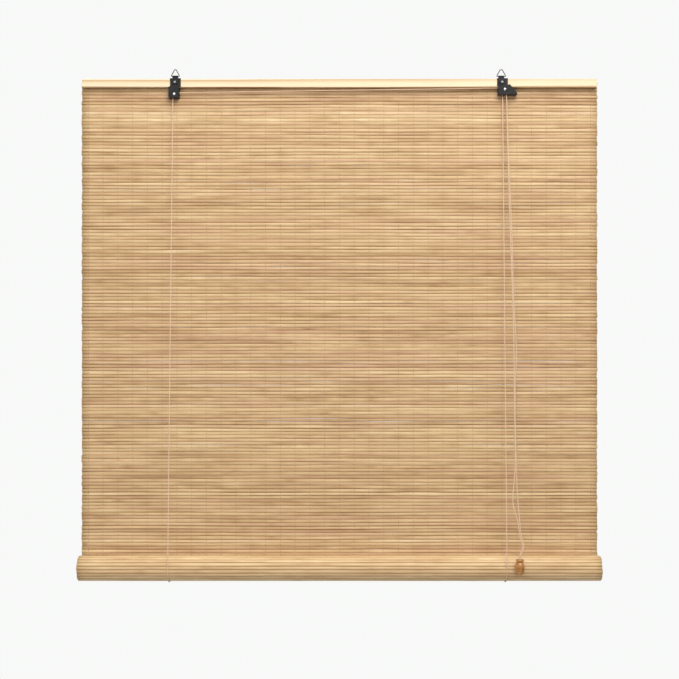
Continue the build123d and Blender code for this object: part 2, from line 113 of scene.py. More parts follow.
def addAreaLight(name, place, size, power, target):
    data = bpy.data.lights.new(name, "AREA")
    data.shape = "SQUARE"
    data.size = size
    data.energy = power
    lamp = bpy.data.objects.new(name, data)
    lamp.location = place
    lamp.rotation_euler = (Vector(target) - Vector(place)).to_track_quat("-Z", "Y").to_euler()
    bpy.context.collection.objects.link(lamp)


def addSky(s):
    # plain where the camera sees it; its light falls from above, fading from the zenith to the ground
    world = bpy.data.worlds.new("studio")
    bpy.context.scene.world = world
    world.use_nodes = True
    nodes, links = world.node_tree.nodes, world.node_tree.links
    nodes.clear()
    path = nodes.new("ShaderNodeLightPath")
    seen = nodes.new("ShaderNodeBackground")
    soft = nodes.new("ShaderNodeBackground")
    mix = nodes.new("ShaderNodeMixShader")
    out = nodes.new("ShaderNodeOutputWorld")
    for node, strength in ((seen, s["skySeen"]), (soft, s["skyLight"])):
        node.inputs["Color"].default_value = (*s["skyColour"], 1.0)
        node.inputs["Strength"].default_value = strength
    direction = nodes.new("ShaderNodeTexCoord")
    split = nodes.new("ShaderNodeSeparateXYZ")
    fade = nodes.new("ShaderNodeMapRange")
    fade.inputs["From Min"].default_value = s["fadeFrom"]
    fade.inputs["From Max"].default_value = s["fadeTo"]
    fade.inputs["To Min"].default_value = s["groundLight"]
    fade.inputs["To Max"].default_value = s["skyLight"]
    links.new(direction.outputs["Generated"], split.inputs[0])
    links.new(split.outputs["Z"], fade.inputs["Value"])
    links.new(fade.outputs["Result"], soft.inputs["Strength"])
    links.new(path.outputs["Is Camera Ray"], mix.inputs["Fac"])
    links.new(soft.outputs[0], mix.inputs[1])
    links.new(seen.outputs[0], mix.inputs[2])
    links.new(mix.outputs[0], out.inputs["Surface"])


def addFloor(s):
    # a plain pale floor, well below the blind
    half = s["floorSize"] / 2
    z = cadLow.z - s["floorDrop"]
    corners = [(-half, -half, z), (half, -half, z), (half, half, z), (-half, half, z)]
    mesh = bpy.data.meshes.new("floor")
    mesh.from_pydata(corners, [], [(0, 1, 2, 3)])
    floor = bpy.data.objects.new("floor", mesh)
    bpy.context.collection.objects.link(floor)
    material = bpy.data.materials.new("floorPaint")
    material.use_nodes = True
    shader = material.node_tree.nodes["Principled BSDF"]
    shader.inputs["Base Color"].default_value = (*s["floorColour"], 1.0)
    shader.inputs["Roughness"].default_value = s["floorRoughness"]
    mesh.materials.append(material)


def addStudio(s):
    # the sky, a large soft key light above and in front, a fill light, a back light, and the floor
    addSky(s)
    middle = (cadLow + cadHigh) / 2
    for light in ("key", "fill", "back"):
        addAreaLight(light + "Light", s[light + "Place"], s[light + "Size"], s[light + "Power"], middle)
    addFloor(s)
    bpy.context.scene.view_settings.view_transform = "Standard"


addStudio(lightSetup)
print("studio ready")


def addTubes(name, points, material, values=None):
    # points has shape (tubes, stations, around, 3): quads join neighbours, and one flat face caps each end
    tubes, stations, around = points.shape[:3]
    index = np.arange(tubes * stations * around).reshape(tubes, stations, around)
    turned = np.roll(index, -1, axis=2)
    quads = np.stack([index[:, :-1], turned[:, :-1], turned[:, 1:], index[:, 1:]], axis=-1).reshape(-1)
    caps = np.concatenate([index[:, 0, ::-1].reshape(-1), index[:, -1].reshape(-1)])
    quadCount, capCount = len(quads) // 4, 2 * tubes
    mesh = bpy.data.meshes.new(name)
    mesh.vertices.add(index.size)
    mesh.vertices.foreach_set("co", points.astype(np.float32).reshape(-1))
    mesh.loops.add(len(quads) + len(caps))
    mesh.loops.foreach_set("vertex_index", np.concatenate([quads, caps]).astype(np.int32))
    mesh.polygons.add(quadCount + capCount)
    starts = np.concatenate([np.arange(quadCount) * 4, len(quads) + np.arange(capCount) * around])
    mesh.polygons.foreach_set("loop_start", starts.astype(np.int32))
    shade = np.zeros(quadCount + capCount, bool)
    shade[:quadCount] = True
    mesh.polygons.foreach_set("use_smooth", shade)
    mesh.update(calc_edges=True)
    for key, value in (values or {}).items():
        attribute = mesh.attributes.new(key, "FLOAT", "POINT")
        full = np.broadcast_to(value, (tubes, stations, around))
        attribute.data.foreach_set("value", full.astype(np.float32).reshape(-1))
    mesh.validate()
    mesh.materials.append(material)
    piece = bpy.data.objects.new(name, mesh)
    bpy.context.collection.objects.link(piece)
    return piece


def signedPower(x, power):
    # a power that keeps the sign: below 1 it squares off a sine
    return np.sign(x) * np.abs(x) ** power


def softNoise(rng, rows, x, waves, longest, shortest):
    # a sum of sines for each row, with random lengths between the two and random phases, in -1 to 1
    total = np.zeros((rows, len(x)))
    for _ in range(waves):
        length = rng.uniform(shortest, longest, (rows, 1))
        phase = rng.uniform(0, 2 * np.pi, (rows, 1))
        total += np.sin(2 * np.pi * x[None, :] / length + phase)
    return total / waves


def startMaterial(name, roughness, specular=0.4):
    # a new material with its shader's constants, and what the other nodes are added to
    material = bpy.data.materials.new(name)
    material.use_nodes = True
    tree = material.node_tree
    shader = tree.nodes["Principled BSDF"]
    shader.inputs["Roughness"].default_value = roughness
    shader.inputs["Specular IOR Level"].default_value = specular
    return material, tree.nodes, tree.links, shader


def objectNoise(nodes, links, scale=1.0, detail=4.0, stretch=(1, 1, 1), rough=0.55):
    # noise on Object coordinates: a smaller stretch along one axis draws the pattern out along it
    place = nodes.new("ShaderNodeTexCoord")
    mapping = nodes.new("ShaderNodeMapping")
    mapping.inputs["Scale"].default_value = stretch
    noise = nodes.new("ShaderNodeTexNoise")
    noise.inputs["Scale"].default_value = scale
    noise.inputs["Detail"].default_value = detail
    noise.inputs["Roughness"].default_value = rough
    links.new(place.outputs["Object"], mapping.inputs["Vector"])
    links.new(mapping.outputs["Vector"], noise.inputs["Vector"])
    return noise.outputs["Fac"]


def colourRamp(nodes, links, value, stops):
    ramp = nodes.new("ShaderNodeValToRGB")
    elements = ramp.color_ramp.elements
    while len(elements) < len(stops):
        elements.new(0.5)
    for element, (place, colour) in zip(elements, stops):
        element.position = place
        element.color = (*colour, 1.0)
    links.new(value, ramp.inputs["Fac"])
    return ramp.outputs["Color"]


def mixColour(nodes, links, factor, first, second, kind="MIX"):
    mix = nodes.new("ShaderNodeMix")
    mix.data_type = "RGBA"
    mix.blend_type = kind
    if isinstance(factor, float):
        mix.inputs[0].default_value = factor
    else:
        links.new(factor, mix.inputs[0])
    for socket, value in ((mix.inputs[6], first), (mix.inputs[7], second)):
        if isinstance(value, tuple):
            socket.default_value = (*value, 1.0)
        else:
            links.new(value, socket)
    return mix.outputs[2]


def addBump(nodes, links, shader, value, depth, strength=1.0):
    bump = nodes.new("ShaderNodeBump")
    bump.inputs["Distance"].default_value = depth
    bump.inputs["Strength"].default_value = strength
    links.new(value, bump.inputs["Height"])
    links.new(bump.outputs["Normal"], shader.inputs["Normal"])


def readAttribute(nodes, name):
    attribute = nodes.new("ShaderNodeAttribute")
    attribute.attribute_name = name
    return attribute.outputs["Fac"]


bambooLook = {
    "tones": [(0.0, (0.36, 0.20, 0.085)), (0.28, (0.53, 0.335, 0.16)), (0.52, (0.66, 0.455, 0.235)),
              (0.78, (0.76, 0.56, 0.31)), (1.0, (0.86, 0.69, 0.43))],
    "blush": (0.60, 0.35, 0.22), "streak": (0.62, 0.50, 0.38), "streakShare": 0.55,
    "fibres": (14.0, 1500.0, 1900.0), "relief": 0.00012, "roughness": 0.52, "specular": 0.35,
}


def makeBamboo(s):
    # each slat's tone, which holds painted shade at its top and bottom edges, a pinkish blush in patches, and
    # fine fibres that run along X
    material, nodes, links, shader = startMaterial("splitBamboo", s["roughness"], s["specular"])
    base = colourRamp(nodes, links, readAttribute(nodes, "tone"), s["tones"])
    base = mixColour(nodes, links, readAttribute(nodes, "blush"), base, s["blush"])
    fibres = objectNoise(nodes, links, detail=5.0, stretch=s["fibres"], rough=0.6)
    streaks = [(0.34, s["streak"]), (0.56, (1.0, 1.0, 1.0)), (0.9, (1.0, 1.0, 1.0))]
    darker = colourRamp(nodes, links, fibres, streaks)
    base = mixColour(nodes, links, s["streakShare"], base, darker, "MULTIPLY")
    links.new(base, shader.inputs["Base Color"])
    addBump(nodes, links, shader, fibres, s["relief"], strength=0.7)
    return material


bamboo = makeBamboo(bambooLook)


threadLook = {
    "tones": [(0.3, (0.36, 0.22, 0.105)), (0.7, (0.52, 0.35, 0.19))],
    "fuzz": 1800.0, "relief": 0.0001, "roughness": 0.85, "specular": 0.2,
}


def makeThread(s):
    # brown cotton, mottled by its fuzz
    material, nodes, links, shader = startMaterial("warpThread", s["roughness"], s["specular"])
    fuzz = objectNoise(nodes, links, s["fuzz"], detail=3.0)
    links.new(colourRamp(nodes, links, fuzz, s["tones"]), shader.inputs["Base Color"])
    addBump(nodes, links, shader, fuzz, s["relief"])
    return material


threadMaterial = makeThread(threadLook)


pineLook = {
    "tones": [(0.0, (0.90, 0.74, 0.51)), (0.50, (0.86, 0.69, 0.45)), (0.84, (0.72, 0.51, 0.29)),
              (1.0, (0.56, 0.36, 0.18))],
    "ringStretch": (1.1, 26.0, 22.0), "ringTurn": (0.35, 0.0, 0.012), "ringDistortion": 5.5,
    "fibres": (18.0, 1400.0, 1400.0), "fibreTones": [(0.30, (0.84, 0.78, 0.70)), (0.55, (1.0, 1.0, 1.0))],
    "fibreShare": 0.5, "relief": 0.00008, "specular": 0.4,
}


def makePine(name, s, ringScale, roughness):
    # rings of late wood drawn out along X: a distorted wave across the height and depth of the rail
    material, nodes, links, shader = startMaterial(name, roughness, s["specular"])
    place = nodes.new("ShaderNodeTexCoord")
    mapping = nodes.new("ShaderNodeMapping")
    mapping.inputs["Scale"].default_value = s["ringStretch"]
    mapping.inputs["Rotation"].default_value = s["ringTurn"]
    wave = nodes.new("ShaderNodeTexWave")
    wave.wave_type = "BANDS"
    wave.bands_direction = "Z"
    wave.wave_profile = "SAW"
    wave.inputs["Scale"].default_value = ringScale
    wave.inputs["Distortion"].default_value = s["ringDistortion"]
    wave.inputs["Detail"].default_value = 2.0
    wave.inputs["Detail Scale"].default_value = 0.9
    links.new(place.outputs["Object"], mapping.inputs["Vector"])
    links.new(mapping.outputs["Vector"], wave.inputs["Vector"])
    rings = colourRamp(nodes, links, wave.outputs["Fac"], s["tones"])
    fibres = objectNoise(nodes, links, stretch=s["fibres"])
    fine = colourRamp(nodes, links, fibres, s["fibreTones"])
    base = mixColour(nodes, links, s["fibreShare"], rings, fine, "MULTIPLY")
    links.new(base, shader.inputs["Base Color"])
    addBump(nodes, links, shader, fibres, s["relief"], strength=0.6)
    return material


lacquerLook = {
    "tones": [(0.42, (0.006, 0.006, 0.006)), (0.62, (0.016, 0.015, 0.014)), (0.78, (0.060, 0.057, 0.053))],
    "gloss": [(0.3, (0.28, 0.28, 0.28)), (0.8, (0.55, 0.55, 0.55))],
    "peel": 900.0, "rub": 160.0, "relief": 0.00003, "roughness": 0.36, "specular": 0.28,
}


def makeBlackLacquer(s):
    # black lacquer with a faint orange peel, a little greyer and duller where it has been rubbed
    material, nodes, links, shader = startMaterial("blackLacquer", s["roughness"], s["specular"])
    peel = objectNoise(nodes, links, s["peel"], detail=2.0)
    rub = objectNoise(nodes, links, s["rub"], detail=5.0, rough=0.7)
    links.new(colourRamp(nodes, links, rub, s["tones"]), shader.inputs["Base Color"])
    links.new(colourRamp(nodes, links, rub, s["gloss"]), shader.inputs["Roughness"])
    addBump(nodes, links, shader, peel, s["relief"], strength=0.5)
    return material


metalLooks = {
    "darkWire": {"tones": [(0.3, (0.020, 0.020, 0.019)), (0.7, (0.055, 0.053, 0.050))],
                 "roughness": 0.34, "scratches": 500.0},
    "zincScrew": {"tones": [(0.3, (0.24, 0.24, 0.23)), (0.7, (0.46, 0.46, 0.45))],
                  "roughness": 0.50, "scratches": 700.0},
    "brightRivet": {"tones": [(0.3, (0.78, 0.78, 0.77)), (0.7, (0.92, 0.92, 0.91))],
                    "roughness": 0.22, "scratches": 900.0},
    "stapleSteel": {"tones": [(0.3, (0.50, 0.50, 0.49)), (0.7, (0.74, 0.74, 0.73))],
                    "roughness": 0.40, "scratches": 900.0},
    "rollerBrass": {"tones": [(0.3, (0.42, 0.28, 0.10)), (0.7, (0.66, 0.48, 0.20))],
                    "roughness": 0.33, "scratches": 800.0},
}


def makeMetal(name, relief=0.00002):
    # bare metal, with fine scratches that vary its colour and relief
    s = metalLooks[name]
    material, nodes, links, shader = startMaterial(name, s["roughness"])
    shader.inputs["Metallic"].default_value = 1.0
    marks = objectNoise(nodes, links, s["scratches"], detail=5.0, stretch=(1.0, 1.0, 5.0), rough=0.7)
    links.new(colourRamp(nodes, links, marks, s["tones"]), shader.inputs["Base Color"])
    addBump(nodes, links, shader, marks, relief, strength=0.5)
    return material


nylonLook = {
    "tones": [(0.3, (0.62, 0.60, 0.54)), (0.7, (0.72, 0.70, 0.64))],
    "cloud": 700.0, "relief": 0.00002, "roughness": 0.42,
}


def makeNylon(s):
    # moulded nylon, slightly clouded
    material, nodes, links, shader = startMaterial("pulleyNylon", s["roughness"])
    cloud = objectNoise(nodes, links, s["cloud"], detail=3.0)
    links.new(colourRamp(nodes, links, cloud, s["tones"]), shader.inputs["Base Color"])
    addBump(nodes, links, shader, cloud, s["relief"], strength=0.4)
    return material


cordLook = {
    "tones": [(0.3, (0.70, 0.48, 0.32)), (0.7, (0.88, 0.66, 0.46))], "grooveShadeTone": (0.40, 0.21, 0.13),
    "lint": 2600.0, "relief": 0.00006, "roughness": 0.82, "specular": 0.2, "sheen": 0.15,
}


def makeCordFibre(s):
    # three plies, with painted shade darkening the grooves between them, and fine lint
    material, nodes, links, shader = startMaterial("twistedCord", s["roughness"], s["specular"])
    shader.inputs["Sheen Weight"].default_value = s["sheen"]
    lint = objectNoise(nodes, links, s["lint"])
    pale = colourRamp(nodes, links, lint, s["tones"])
    base = mixColour(nodes, links, readAttribute(nodes, "groove"), pale, s["grooveShadeTone"])
    links.new(base, shader.inputs["Base Color"])
    addBump(nodes, links, shader, lint, s["relief"], strength=0.6)
    return material


knobLook = {
    "tones": [(0.25, (0.22, 0.075, 0.012)), (0.5, (0.42, 0.170, 0.032)), (0.75, (0.56, 0.26, 0.060))],
    "grain": (300.0, 300.0, 60.0), "relief": 0.00004, "roughness": 0.24, "specular": 0.5,
    "varnish": 0.6, "varnishRoughness": 0.12,
}


def makeKnobWood(s):
    # varnished turned wood, with its grain drawn out along Z
    material, nodes, links, shader = startMaterial("turnedWood", s["roughness"], s["specular"])
    shader.inputs["Coat Weight"].default_value = s["varnish"]
    shader.inputs["Coat Roughness"].default_value = s["varnishRoughness"]
    grain = objectNoise(nodes, links, stretch=s["grain"], rough=0.5)
    links.new(colourRamp(nodes, links, grain, s["tones"]), shader.inputs["Base Color"])
    addBump(nodes, links, shader, grain, s["relief"], strength=0.5)
    return material


finishes = {
    "head_rail": makePine("planedPine", pineLook, ringScale=1.25, roughness=0.48),
    "bottom_batten": makePine("battenPine", pineLook, ringScale=0.7, roughness=0.6),
    "left_bracket": makeBlackLacquer(lacquerLook),
    "left_ring": makeMetal("darkWire"),
    "left_screw": makeMetal("zincScrew"),
    "left_pulley_rivet": makeMetal("brightRivet"),
    "mat_staples": makeMetal("stapleSteel"),
    "left_pulley": makeNylon(nylonLook),
    "lock_roller": makeMetal("rollerBrass"),
    "cord_knob": makeKnobWood(knobLook),
}
sameFinish = {
    "right_lock_housing": "left_bracket", "left_hanger_strap": "left_bracket",
    "right_hanger_strap": "left_bracket", "right_ring": "left_ring", "right_screw": "left_screw",
    "right_pulley_rivet": "left_pulley_rivet", "right_pulley": "left_pulley",
}


def finishFittings():
    # the rail, batten, brackets, pulleys, screws and knob keep their exact shapes and take these finishes
    for node in [*finishes, *sameFinish]:
        piece = frame["nodes"][node]
        material = finishes[sameFinish.get(node, node)]
        if piece.material_slots:
            for slot in piece.material_slots:
                slot.material = material
        else:
            piece.data.materials.append(material)


finishFittings()
print("fittings finished")


def rollPlace():
    # the roll's axis as (y, z), and the radius at which the flat mat runs onto it
    place = joints["roll_turn"]["pos_m"]
    return (place[1], place[2]), matPlane() - place[1]


cordSpec = {
    "radius": 0.9 * mm, "around": 9, "step": 0.75 * mm,
    "plies": 3, "twistPitch": 10 * mm, "groove": 0.20,
    "pulleyGroove": 1.3 * mm,        # how far each groove of the right pulley lies from its middle
}
cordMaterial = makeCordFibre(cordLook)


def evenLine(line, step):
    # the same line with stations an even step apart, by its distance along
    run = np.concatenate([[0], np.cumsum(np.linalg.norm(np.diff(line, axis=0), axis=1))])
    count = max(int(round(run[-1] / step)), 8) + 1
    at = np.linspace(0, run[-1], count)
    return np.stack([np.interp(at, run, line[:, i]) for i in range(3)], axis=-1), at


def addCord(name, line, s, side, twist=0.0):
    # a lobed section carried along the line while it turns: the radius dips in the grooves between the plies,
    # by one less the size of the cosine of half the plies times the angle from the twist
    line, at = evenLine(np.asarray(line, float), s["step"])
    side = np.asarray(side, float)
    ahead = np.gradient(line, axis=0)
    ahead /= np.linalg.norm(ahead, axis=1, keepdims=True)
    first = side[None] - (ahead @ side)[:, None] * ahead
    first /= np.linalg.norm(first, axis=1, keepdims=True)
    second = np.cross(ahead, first)
    angle = np.linspace(0, 2 * np.pi, s["around"], endpoint=False)[None, :]
    lobe = np.abs(np.cos(s["plies"] / 2 * (angle - twist - 2 * np.pi * at[:, None] / s["twistPitch"])))
    radius = s["radius"] * (1 - s["groove"] * (1 - lobe))
    points = (line[:, None] + radius[..., None] * (np.cos(angle)[..., None] * first[:, None]
                                                  + np.sin(angle)[..., None] * second[:, None]))
    # the groove attribute carries painted shade into the grooves between the plies
    piece = addTubes(name, points[None], cordMaterial, {"groove": ((1 - lobe) ** 2)[None]})
    return piece


def straightLine(start, end):
    return np.linspace(np.array(start), np.array(end), 2)


def arcLine(centre, radius, start, stop, across, upward, count=90):
    # points on a circle from one angle to another, in the plane of the two directions
    angle = np.radians(np.linspace(start, stop, count))[:, None]
    return np.array(centre) + radius * (np.cos(angle) * np.array(across) + np.sin(angle) * np.array(upward))


def pulleyCentre(side):
    return Vector(joints[side + "_pulley_spin"]["pos_m"])


def buildLiftCord(s, side, groove, wrapRadius):
    # one lift cord in three lengths: down in front of the mat, under the roll, and up behind the mat;
    # the front one meets the sling where it is tangent to it
    axis, _ = rollPlace()
    pulley = pulleyCentre(side)
    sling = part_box(side + "_cord_sling")
    x = (sling[0].x + sling[1].x) / 2
    slingRadius = (sling[1].y - sling[0].y) / 2 - s["radius"]
    top = Vector((pulley.x - wrapRadius, pulley.y + groove, pulley.z))
    away = Vector((top.y - axis[0], top.z - axis[1]))
    touch = np.degrees(np.arctan2(away.y, away.x) + np.arccos(slingRadius / away.length))
    arc = arcLine((x, *axis), slingRadius, touch, 360.0, (0, 1, 0), (0, 0, 1))
    front = addCord(side + "FrontCord", straightLine(top, arc[0]), s, (1, 0, 0))
    under = addCord(side + "SlingCord", arc, s, (1, 0, 0), twist=1.0)
    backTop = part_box(side + "_back_cord")[1].z
    backLine = straightLine(arc[-1], (x, arc[-1][1], backTop))
    back = addCord(side + "BackCord", backLine, s, (1, 0, 0), twist=2.0)
    for piece, node, anchor, length in ((front, side + "_lift_cord", top.z, top.z - arc[0][2]),
                                        (back, side + "_back_cord", backTop, backTop - arc[-1][2])):
        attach(piece, "rail_and_mat")
        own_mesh(piece)
        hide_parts(node)
    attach(under, "cord_slings")
    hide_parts(side + "_cord_sling")


def buildLiftCords(s):
    # the cord runs twice as far as the roll rises, so a pulley's groove has the radius of that ratio
    # over its own turning ratio; the left cord crosses to the lock over both pulleys
    wrapRadius = couplings["knob_drop"]["ratio"] / couplings["left_pulley_spin"]["ratio"]
    buildLiftCord(s, "left", 0.0, wrapRadius)
    buildLiftCord(s, "right", s["pulleyGroove"], wrapRadius)
    left, right = pulleyCentre("left"), pulleyCentre("right")
    near = (right.x, right.y - s["pulleyGroove"], right.z)
    far = (right.x, right.y + s["pulleyGroove"], right.z)
    plane = (1, 0, 0), (0, 0, 1)
    rise = np.degrees(np.arctan2(right.z - left.z, right.x - left.x))
    over = arcLine(tuple(left), wrapRadius, 180, 90 + rise, *plane)
    down = arcLine(near, wrapRadius, 90 + rise, 0, *plane)
    cross = addCord("crossCord", np.concatenate([over, down]), s, (0, 1, 0))
    wrap = addCord("lockCord", arcLine(far, wrapRadius, 180, 0, *plane), s, (0, 1, 0))
    for piece, node in ((cross, "cross_cord"), (wrap, "right_cord_wrap")):
        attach(piece, "rail_and_mat")
        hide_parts(node)


buildLiftCords(cordSpec)
print("lift cords ready")

knotSpec = {
    "stations": 90, "tube": 0.36, "step": 0.25 * mm, "twistPitch": 5 * mm,
    "side": (0.3, 0.2, 0.93),        # a direction that the knot's line never runs in
}


def addKnot(name, node, body, s):
    # an overhand knot: a trefoil, (sin t + 2 sin 2t, cos t - 2 cos 2t, -sin 3t), filled to the node's box
    low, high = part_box(node)
    centre, half = (low + high) / 2, (high - low) / 2
    t = np.linspace(0, 2 * np.pi, s["stations"] + 1)
    line = np.stack([np.sin(t) + 2 * np.sin(2 * t), np.cos(t) - 2 * np.cos(2 * t), -np.sin(3 * t)], axis=-1)
    tube = min(half) * s["tube"]
    scale = (np.array(half) - tube) / np.abs(line).max(axis=0)
    cord = dict(cordSpec, radius=tube, step=s["step"], twistPitch=s["twistPitch"])
    piece = addCord(name, np.array(centre) + line * scale, cord, s["side"])
    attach(piece, body)
    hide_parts(node)
    return piece


addKnot("leftTopKnot", "left_cord_anchor", "rail_and_mat", knotSpec)
addKnot("rightTopKnot", "right_cord_anchor", "rail_and_mat", knotSpec)
knobKnot = addKnot("knobKnot", "knob_knot", "knob", knotSpec)
print("knots ready")

# the routes of the two pull cords in millimetres, from the lock's pulley to the knot inside the knob
pullRoutes = {
    "left_pull_cord": [
        (290.4, 4.3, -33.5), (292.6, -3.4, -173.8), (295.5, -10.3, -295.8), (299.1, -17.2, -416.8),
        (299.7, -21.2, -485.8), (299.8, -25.1, -554.8), (300.2, -29.1, -624.8), (300.9, -32.5, -684.8),
        (296.8, -34.6, -719.8), (294.2, -36.2, -747.8), (303.9, -37.8, -776.8), (307.3, -39.5, -804.8),
        (313.5, -40.25, -820.5), (306.05, -40.5, -835.0), (305.85, -40.5, -848.2), (305.85, -40.5, -861.05),
    ],
    "right_pull_cord": [
        (290.4, 6.9, -33.5), (294.3, -1.2, -173.8), (298.6, -8.1, -295.8), (300.3, -15.0, -416.8),
        (305.4, -19.0, -485.8), (300.9, -22.9, -554.8), (301.3, -26.9, -624.8), (302.6, -30.3, -684.8),
        (302.8, -32.4, -719.8), (304.8, -34.0, -747.8), (306.9, -35.6, -776.8), (309.5, -37.3, -804.8),
        (315.0, -39.15, -820.5), (307.95, -40.5, -835.0), (307.75, -40.5, -848.2), (307.75, -40.5, -861.05),
    ],
}


def smoothRoute(name, points, resolution=24):
    # the line of a NURBS curve that has the route's points as its control points
    data = bpy.data.curves.new(name, "CURVE")
    data.dimensions = "3D"
    data.resolution_u = resolution
    spline = data.splines.new("NURBS")
    spline.points.add(len(points) - 1)
    for control, place in zip(spline.points, points):
        control.co = (*[value * mm for value in place], 1.0)
    spline.order_u = 3
    spline.use_endpoint_u = True
    holder = bpy.data.objects.new(name, data)
    bpy.context.collection.objects.link(holder)
    bpy.context.view_layer.update()
    mesh = bpy.data.meshes.new_from_object(holder)
    line = np.zeros(len(mesh.vertices) * 3)
    mesh.vertices.foreach_get("co", line)
    bpy.data.objects.remove(holder)
    return line.reshape(-1, 3)


def buildPullCords(s):
    # two cords side by side, hanging free from the lock down to the knot inside the knob; on the real blind
    # their tops stay at the lock and their ends follow the knob, while here both are built in place and
    # joined to no body
    for order, (node, points) in enumerate(pullRoutes.items()):
        line = smoothRoute(node + "Route", points)
        piece = addCord(node.replace("_pull_cord", "PullCord"), line, s, (1, 0, 0), twist=float(order))
        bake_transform(piece)
        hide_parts(node)


buildPullCords(cordSpec)
print("pull cords ready")


slatSpec = {
    "pitch": 5.88 * mm, "height": 6.35 * mm, "thick": 2.3 * mm, "stations": 58, "around": 12,
    "round": (0.95, 0.80),        # powers of the section's cosine and sine
    "shared": 9, "wave": 0.55 * mm, "ownWave": 0.22 * mm, "bow": 0.12 * mm,
    "tilt": 0.16, "tiltSpread": 0.5,
    "heightSpread": 0.05, "heightDrift": 0.035, "thickShare": 0.96, "thickDrift": 0.06,
    "endLeast": -0.9 * mm, "endMost": 0.5 * mm, "nodeEvery": 0.30, "nodeWidth": 5 * mm, "nodeRise": 0.12,
    "seed": 11,
}
slatWaves = {        # for each ripple along the slats: how many sines, and their longest and shortest length
    "shared": (3, 0.9, 0.35), "own": (4, 0.30, 0.08), "height": (4, 0.25, 0.05), "tilt": (3, 0.6, 0.15),
    "bow": (2, 0.8, 0.4), "broad": (3, 0.5, 0.10), "fine": (3, 0.06, 0.03), "blush": (3, 0.6, 0.2),
    "edge": (4, 0.3, 0.06), "stray": (3, 0.5, 0.1),
}
slatTone = {
    "middle": 0.54, "spread": 0.085, "broad": 0.20, "fine": 0.10, "nodeDark": 0.16,
    "blush": 0.10, "blushSpread": 0.10, "blushDrift": 0.24, "blushMost": 0.6,
    # the edge keys set the painted shade towards each slat's top and bottom edges, together with browner
    # split edges
    "edge": 0.50, "edgeSpread": 0.35, "edgeFrom": 0.52, "edgeOver": 0.42, "edgePower": 1.3,
}
threadSpec = {
    "count": 35, "pitch": 25.8 * mm, "width": 0.70 * mm, "thick": 0.32 * mm, "around": 4, "stepsPerSlat": 3,
    "reach": 1.20 * mm, "squareness": 0.35, "stray": 0.30 * mm, "seed": 5,
}


def slatShapes(s, rows, rng, stations=None):
    # along X: half height and half thickness of each slat, with a bump at each bamboo node,
    # the rise and fall of its middle line, part of it shared with its neighbours, and its tone, darkened by
    # painted shade towards its top and bottom edges, and blush
    t = slatTone
    count = stations or s["stations"]
    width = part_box("hanging_slats")[1].x * 2
    ends = rng.uniform(s["endLeast"], s["endMost"], (rows, 2))
    share = np.linspace(0, 1, count)[None, :]
    x = (-width / 2 - ends[:, :1]) * (1 - share) + (width / 2 + ends[:, 1:]) * share
    line = np.linspace(-width / 2, width / 2, count)
    slow = softNoise(rng, rows + s["shared"] - 1, line, *slatWaves["shared"])
    shared = np.lib.stride_tricks.sliding_window_view(slow, s["shared"], axis=0).mean(-1) * s["shared"] ** 0.5
    own = softNoise(rng, rows, line, *slatWaves["own"])
    wave = shared * s["wave"] + own * s["ownWave"]
    halfHigh = s["height"] / 2 * (1 + rng.normal(0, s["heightSpread"], (rows, 1))
                                  + s["heightDrift"] * softNoise(rng, rows, line, *slatWaves["height"]))
    firstNode = rng.uniform(-width / 2, -width / 2 + s["nodeEvery"], (rows, 1))
    gap = np.abs((x - firstNode + s["nodeEvery"] / 2) % s["nodeEvery"] - s["nodeEvery"] / 2)
    knuckle = np.exp(-(gap / s["nodeWidth"]) ** 2)
    halfThick = s["thick"] / 2 * (s["thickShare"] + s["thickDrift"] * own + s["nodeRise"] * knuckle)
    tone = t["middle"] + rng.normal(0, t["spread"], (rows, 1))
    tone = tone + t["broad"] * softNoise(rng, rows, line, *slatWaves["broad"])
    tone += t["fine"] * softNoise(rng, rows, line, *slatWaves["fine"]) - t["nodeDark"] * knuckle
    blush = t["blush"] + rng.normal(0, t["blushSpread"], (rows, 1))
    blush = blush + t["blushDrift"] * softNoise(rng, rows, line, *slatWaves["blush"])
    blush = np.clip(blush, 0, t["blushMost"])
    tilt = s["tilt"] * (rng.normal(0, s["tiltSpread"], (rows, 1))
                        + softNoise(rng, rows, line, *slatWaves["tilt"]))
    # painted shade: how far the tone darkens towards the slat's top and bottom edges, varying from slat to
    # slat and along X
    depth = 1 + t["edgeSpread"] * rng.normal(0, 1, (rows, 1))
    depth = t["edge"] * (depth + t["edgeSpread"] * softNoise(rng, rows, line, *slatWaves["edge"]))
    tone = tone[..., None] - np.maximum(depth, 0)[..., None] * edgeShadeAndBrowning(s, t)
    return x, wave, halfHigh, halfThick, tilt, np.clip(tone, 0, 1), blush


def edgeShadeAndBrowning(s, t):
    # 0 on a slat's face, rising to 1 at its top and bottom edges: painted shade in the grooves between slats,
    # together with browner split edges
    upward = np.abs(slatSection(s)[1])
    return np.clip((upward - t["edgeFrom"]) / t["edgeOver"], 0, 1) ** t["edgePower"]


def tilted(halfThick, halfHigh, tilt, s):
    # the oval section turned by the tilt: returns how far each point stands out and up
    across, upward = slatSection(s)
    out = halfThick[..., None] * across
    high = halfHigh[..., None] * upward
    cosine, sine = np.cos(tilt)[..., None], np.sin(tilt)[..., None]
    return out * cosine - high * sine, out * sine + high * cosine


def slatSection(s):
    # a flat oval, fuller than an ellipse in its height: powers of the cosine and sine round it
    angle = np.linspace(0, 2 * np.pi, s["around"], endpoint=False) + np.pi / s["around"]
    return signedPower(np.cos(angle), s["round"][0]), signedPower(np.sin(angle), s["round"][1])


